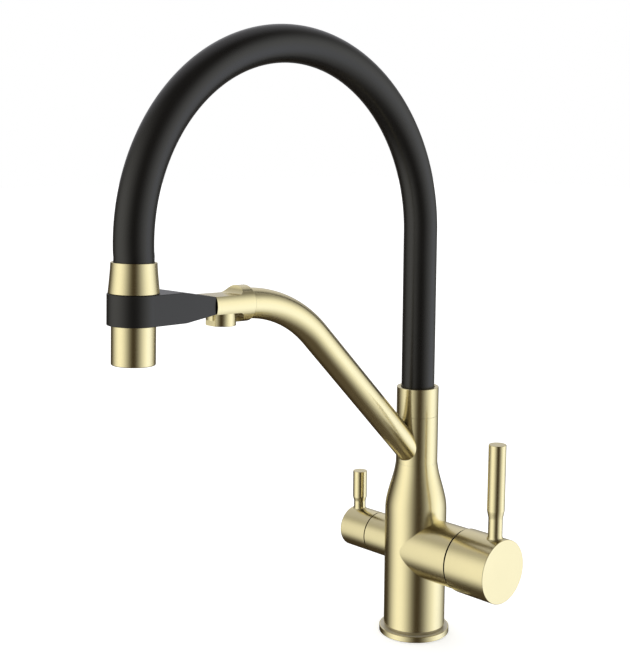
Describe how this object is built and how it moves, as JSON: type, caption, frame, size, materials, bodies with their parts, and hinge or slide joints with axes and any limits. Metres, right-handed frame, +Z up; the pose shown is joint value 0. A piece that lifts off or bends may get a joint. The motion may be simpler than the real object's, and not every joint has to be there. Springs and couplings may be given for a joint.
{
  "type": "kitchen tap",
  "caption": "Kitchen tap with a tall hose arch, a spray head docked on a bent arm that also carries a filtered water outlet, a side mixer lever and a small filter lever.",
  "frame": {"origin": "middle of the base flange's underside, on the axis of the upright body", "axes": "+Z up along the body, -Y the way the spout and arm point, +X the side with the mixer lever"},
  "size_m": [0.1462, 0.2908, 0.4369],
  "materials": {
    "brushed_gold": "finely brushed pale gold coating on brass",
    "matte_black": "matte black moulding",
    "hose_black": "smooth satin black sleeve",
    "black_rubber": "plain black rubber",
    "raw_brass": "machined, uncoated",
    "steel": "machined stainless steel",
    "white_plastic": "white moulding",
    "ceramic": "lapped white ceramic"
  },
  "bodies": {
    "base": {"base_flange": "brushed_gold", "base_gasket": "black_rubber", "tap_body": "brushed_gold", "mixer_seam_ring": "black_rubber", "filter_seam_ring": "black_rubber", "swivel_bush": "white_plastic", "swivel_oring_lower": "black_rubber", "swivel_oring_upper": "black_rubber", "swivel_retaining_ring": "steel", "mixer_cartridge_housing": "white_plastic", "mixer_cartridge_seal": "black_rubber", "mixer_fixed_disc": "ceramic", "mixer_cartridge_nut": "raw_brass", "filter_valve_body": "raw_brass", "filter_seat_washer": "black_rubber", "filter_fixed_disc": "ceramic"},
    "spout": {"neck_sleeve": "brushed_gold", "hose_collar": "brushed_gold", "hose_connector": "raw_brass", "hose_sleeve": "hose_black", "hose_inner": "black_rubber", "spout_arm": "brushed_gold", "arm_hub": "brushed_gold", "filter_nozzle": "brushed_gold", "filter_aerator": "white_plastic", "dock_holder": "matte_black", "dock_screw": "steel"},
    "hose_end": {"hose_end_fitting": "raw_brass", "hose_end_oring": "black_rubber"},
    "spray_head": {"spray_head_shell": "brushed_gold", "spray_check_valve": "white_plastic", "spray_insert": "white_plastic", "spray_face_plate": "black_rubber"},
    "mixer_spindle": {"mixer_turn_carrier": "white_plastic", "mixer_pivot_pin": "steel"},
    "mixer_disc": {"mixer_moving_disc": "ceramic", "mixer_disc_slider": "white_plastic"},
    "mixer_handle": {"mixer_stem": "raw_brass", "mixer_cap": "brushed_gold", "mixer_lever": "brushed_gold", "mixer_grub_screw": "steel"},
    "filter_handle": {"filter_spindle": "raw_brass", "filter_moving_disc": "ceramic", "filter_cap": "brushed_gold", "filter_lever": "brushed_gold", "filter_grub_screw": "steel"}
  },
  "joints": [
    {"name": "spout_swivel", "type": "hinge", "parent": "base", "child": "spout", "pos_m": [0, 0, 0.131], "axis": [0, 0, 1], "continuous": true},
    {"name": "head_lift", "type": "slide", "parent": "spout", "child": "hose_end", "axis": [0, 0.0323, 0.9995], "range_m": [0, 0.055], "deforming": ["hose_sleeve", "hose_inner"]},
    {"name": "head_spin", "type": "hinge", "parent": "hose_end", "child": "spray_head", "pos_m": [0, -0.24874, 0.269], "axis": [0, 0.0323, 0.9995], "continuous": true},
    {"name": "mixer_turn", "type": "hinge", "parent": "base", "child": "mixer_spindle", "pos_m": [0.044, 0, 0.06708], "axis": [1, 0, 0], "range_deg": [-45, 45]},
    {"name": "mixer_tilt", "type": "hinge", "parent": "mixer_spindle", "child": "mixer_handle", "pos_m": [0.044, 0, 0.06708], "axis": [0, 1, 0], "range_deg": [0, 20]},
    {"name": "disc_slide", "type": "slide", "parent": "mixer_spindle", "child": "mixer_disc", "axis": [0, 0, 1], "range_m": [0, 0.0039]},
    {"name": "filter_turn", "type": "hinge", "parent": "base", "child": "filter_handle", "pos_m": [-0.05, 0, 0.06658], "axis": [1, 0, 0], "range_deg": [0, 90]}
  ],
  "couplings": [
    {"joint": "disc_slide", "follows": "mixer_tilt", "m_per_rad": 0.0109}
  ]
}
